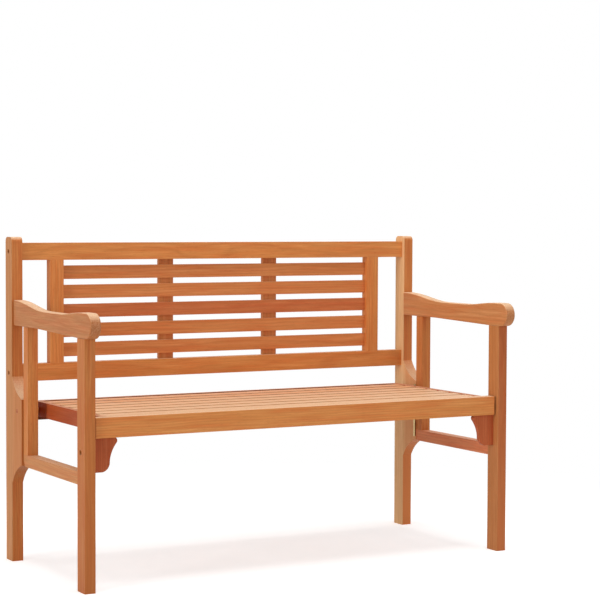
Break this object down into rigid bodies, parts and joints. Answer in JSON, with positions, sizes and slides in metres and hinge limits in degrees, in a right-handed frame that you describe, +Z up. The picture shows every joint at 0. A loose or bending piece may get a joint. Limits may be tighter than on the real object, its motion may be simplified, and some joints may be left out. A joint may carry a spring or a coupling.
{
  "type": "folding garden bench",
  "caption": "Wooden two-seat garden bench with slatted seat and back: the seat swings up and the side frames fold in on butt hinges.",
  "frame": {"origin": "on the ground, under the middle of the bench's bounding box", "axes": "+X along the bench to the viewer's right, +Y towards the backrest, +Z up; the bench faces -Y"},
  "size_m": [1.2, 0.543, 0.823],
  "materials": {
    "oiled_hardwood": "oiled, satin",
    "pale_hardwood": "oiled, satin",
    "red_hardwood": "oiled, satin",
    "brass": "satin",
    "zinc_plated_steel": "satin"
  },
  "bodies": {
    "back": {"left_post": "oiled_hardwood", "right_post": "oiled_hardwood", "back_top_rail": "oiled_hardwood", "back_lower_rail": "oiled_hardwood", "back_stile_left": "oiled_hardwood", "back_stile_right": "oiled_hardwood", "back_slat_1": "oiled_hardwood", "back_slat_2": "oiled_hardwood", "back_slat_3": "red_hardwood", "back_slat_4": "oiled_hardwood", "back_slat_5": "oiled_hardwood", "back_batten_left": "oiled_hardwood", "back_batten_right": "oiled_hardwood", "back_batten_screws": "brass", "rail_bolts": "zinc_plated_steel", "rail_barrel_nuts": "zinc_plated_steel", "pivot_plugs": "pale_hardwood", "pivot_spacers": "oiled_hardwood", "post_hinge_leaves_left": "brass", "post_hinge_leaves_right": "brass", "hinge_pins": "brass", "post_hinge_screws": "brass"},
    "seat": {"pivot_bolts": "zinc_plated_steel", "seat_front_rail": "oiled_hardwood", "seat_rear_rail": "oiled_hardwood", "seat_side_rail_left": "red_hardwood", "seat_side_rail_right": "red_hardwood", "seat_slat_1": "pale_hardwood", "seat_slat_2": "pale_hardwood", "seat_slat_3": "pale_hardwood", "seat_slat_4": "pale_hardwood", "seat_slat_5": "pale_hardwood", "seat_slat_6": "pale_hardwood", "seat_slat_7": "pale_hardwood", "seat_batten_left": "oiled_hardwood", "seat_batten_right": "oiled_hardwood", "seat_corner_blocks": "red_hardwood", "seat_batten_screws": "brass", "corner_block_screws": "brass", "pivot_inserts": "brass"},
    "left_frame": {"left_armrest": "oiled_hardwood", "left_front_leg": "oiled_hardwood", "left_upright": "oiled_hardwood", "left_lower_rail": "oiled_hardwood", "left_seat_bracket": "red_hardwood", "left_bracket_bolt": "zinc_plated_steel", "left_frame_hinge_leaves": "brass", "left_frame_hinge_screws": "brass"},
    "right_frame": {"right_armrest": "oiled_hardwood", "right_front_leg": "oiled_hardwood", "right_upright": "oiled_hardwood", "right_lower_rail": "oiled_hardwood", "right_seat_bracket": "red_hardwood", "right_bracket_bolt": "zinc_plated_steel", "right_frame_hinge_leaves": "brass", "right_frame_hinge_screws": "brass"}
  },
  "joints": [
    {"name": "seat_fold", "type": "hinge", "parent": "back", "child": "seat", "pos_m": [0, 0.1935, 0.386], "axis": [-1, 0, 0], "range_deg": [0, 90]},
    {"name": "left_frame_fold", "type": "hinge", "parent": "back", "child": "left_frame", "pos_m": [-0.5658, 0.1595, 0.335], "axis": [0, 0, 1], "range_deg": [0, 0.5]},
    {"name": "right_frame_fold", "type": "hinge", "parent": "back", "child": "right_frame", "pos_m": [0.5658, 0.1595, 0.335], "axis": [0, 0, -1], "range_deg": [0, 0.5]}
  ]
}
